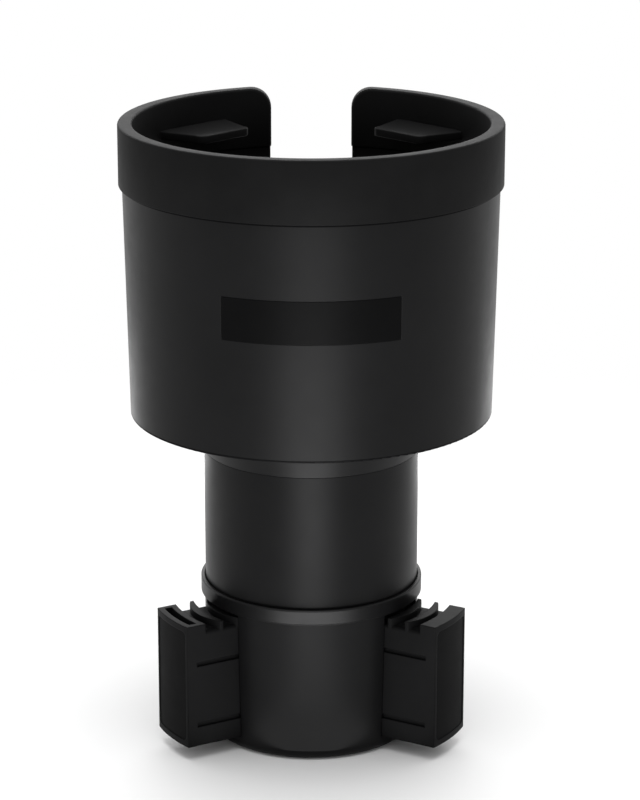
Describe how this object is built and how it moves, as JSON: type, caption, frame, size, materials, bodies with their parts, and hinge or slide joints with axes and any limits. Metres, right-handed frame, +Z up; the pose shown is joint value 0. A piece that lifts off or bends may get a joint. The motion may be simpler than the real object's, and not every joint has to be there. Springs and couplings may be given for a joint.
{
  "type": "expanding car cup holder",
  "caption": "Large slotted cup with a soft rim and grip tabs on a neck that turns in a round base, where a spiral scroll drives radial feet in and out.",
  "frame": {"origin": "on the axis of the cup and the base, in the plane that the base stands on", "axes": "+Z up along the axis, +Y towards the handle slot of the cup, -Y towards the bare field on the front"},
  "size_m": [0.118, 0.1166, 0.1965],
  "materials": {
    "cup_plastic": "satin moulded",
    "neck_plastic": "satin moulded",
    "housing_plastic": "satin moulded",
    "foot_plastic": "satin moulded",
    "scroll_plastic": "smooth moulded",
    "rim_rubber": "soft matt",
    "mat_rubber": "matt",
    "pad_rubber": "matt",
    "label_film": "smooth film",
    "screw_steel": "zinc plated"
  },
  "bodies": {
    "base": {"base_housing": "housing_plastic", "bottom_cover": "housing_plastic", "cover_screws": "screw_steel", "pivot_bolt": "screw_steel", "pivot_bush": "screw_steel", "pivot_washer": "screw_steel", "pivot_nut": "screw_steel"},
    "turret": {"scroll_plate": "scroll_plastic", "scroll_screws": "screw_steel", "neck_tube": "neck_plastic", "neck_screws": "screw_steel", "cup_body": "cup_plastic", "cup_mat": "mat_rubber", "rim_ring": "rim_rubber", "front_label": "label_film"},
    "left_slider": {"foot_left": "foot_plastic", "grip_pad_left": "pad_rubber"},
    "right_slider": {"foot_right": "foot_plastic", "grip_pad_right": "pad_rubber"},
    "rear_slider": {"foot_rear": "foot_plastic", "grip_pad_rear": "pad_rubber"}
  },
  "joints": [
    {"name": "cup_turn", "type": "hinge", "parent": "base", "child": "turret", "pos_m": [0, 0, 0.048], "axis": [0, 0, 1], "range_deg": [0, 900]},
    {"name": "left_slide", "type": "slide", "parent": "base", "child": "left_slider", "axis": [-0.866, -0.5, 0], "range_m": [-0.015, 0]},
    {"name": "right_slide", "type": "slide", "parent": "base", "child": "right_slider", "axis": [0.866, -0.5, 0], "range_m": [-0.015, 0]},
    {"name": "rear_slide", "type": "slide", "parent": "base", "child": "rear_slider", "axis": [0, 1, 0], "range_m": [-0.015, 0]}
  ],
  "couplings": [
    {"joint": "left_slide", "follows": "cup_turn", "m_per_rad": -0.0009549},
    {"joint": "right_slide", "follows": "cup_turn", "m_per_rad": -0.0009549},
    {"joint": "rear_slide", "follows": "cup_turn", "m_per_rad": -0.0009549}
  ]
}
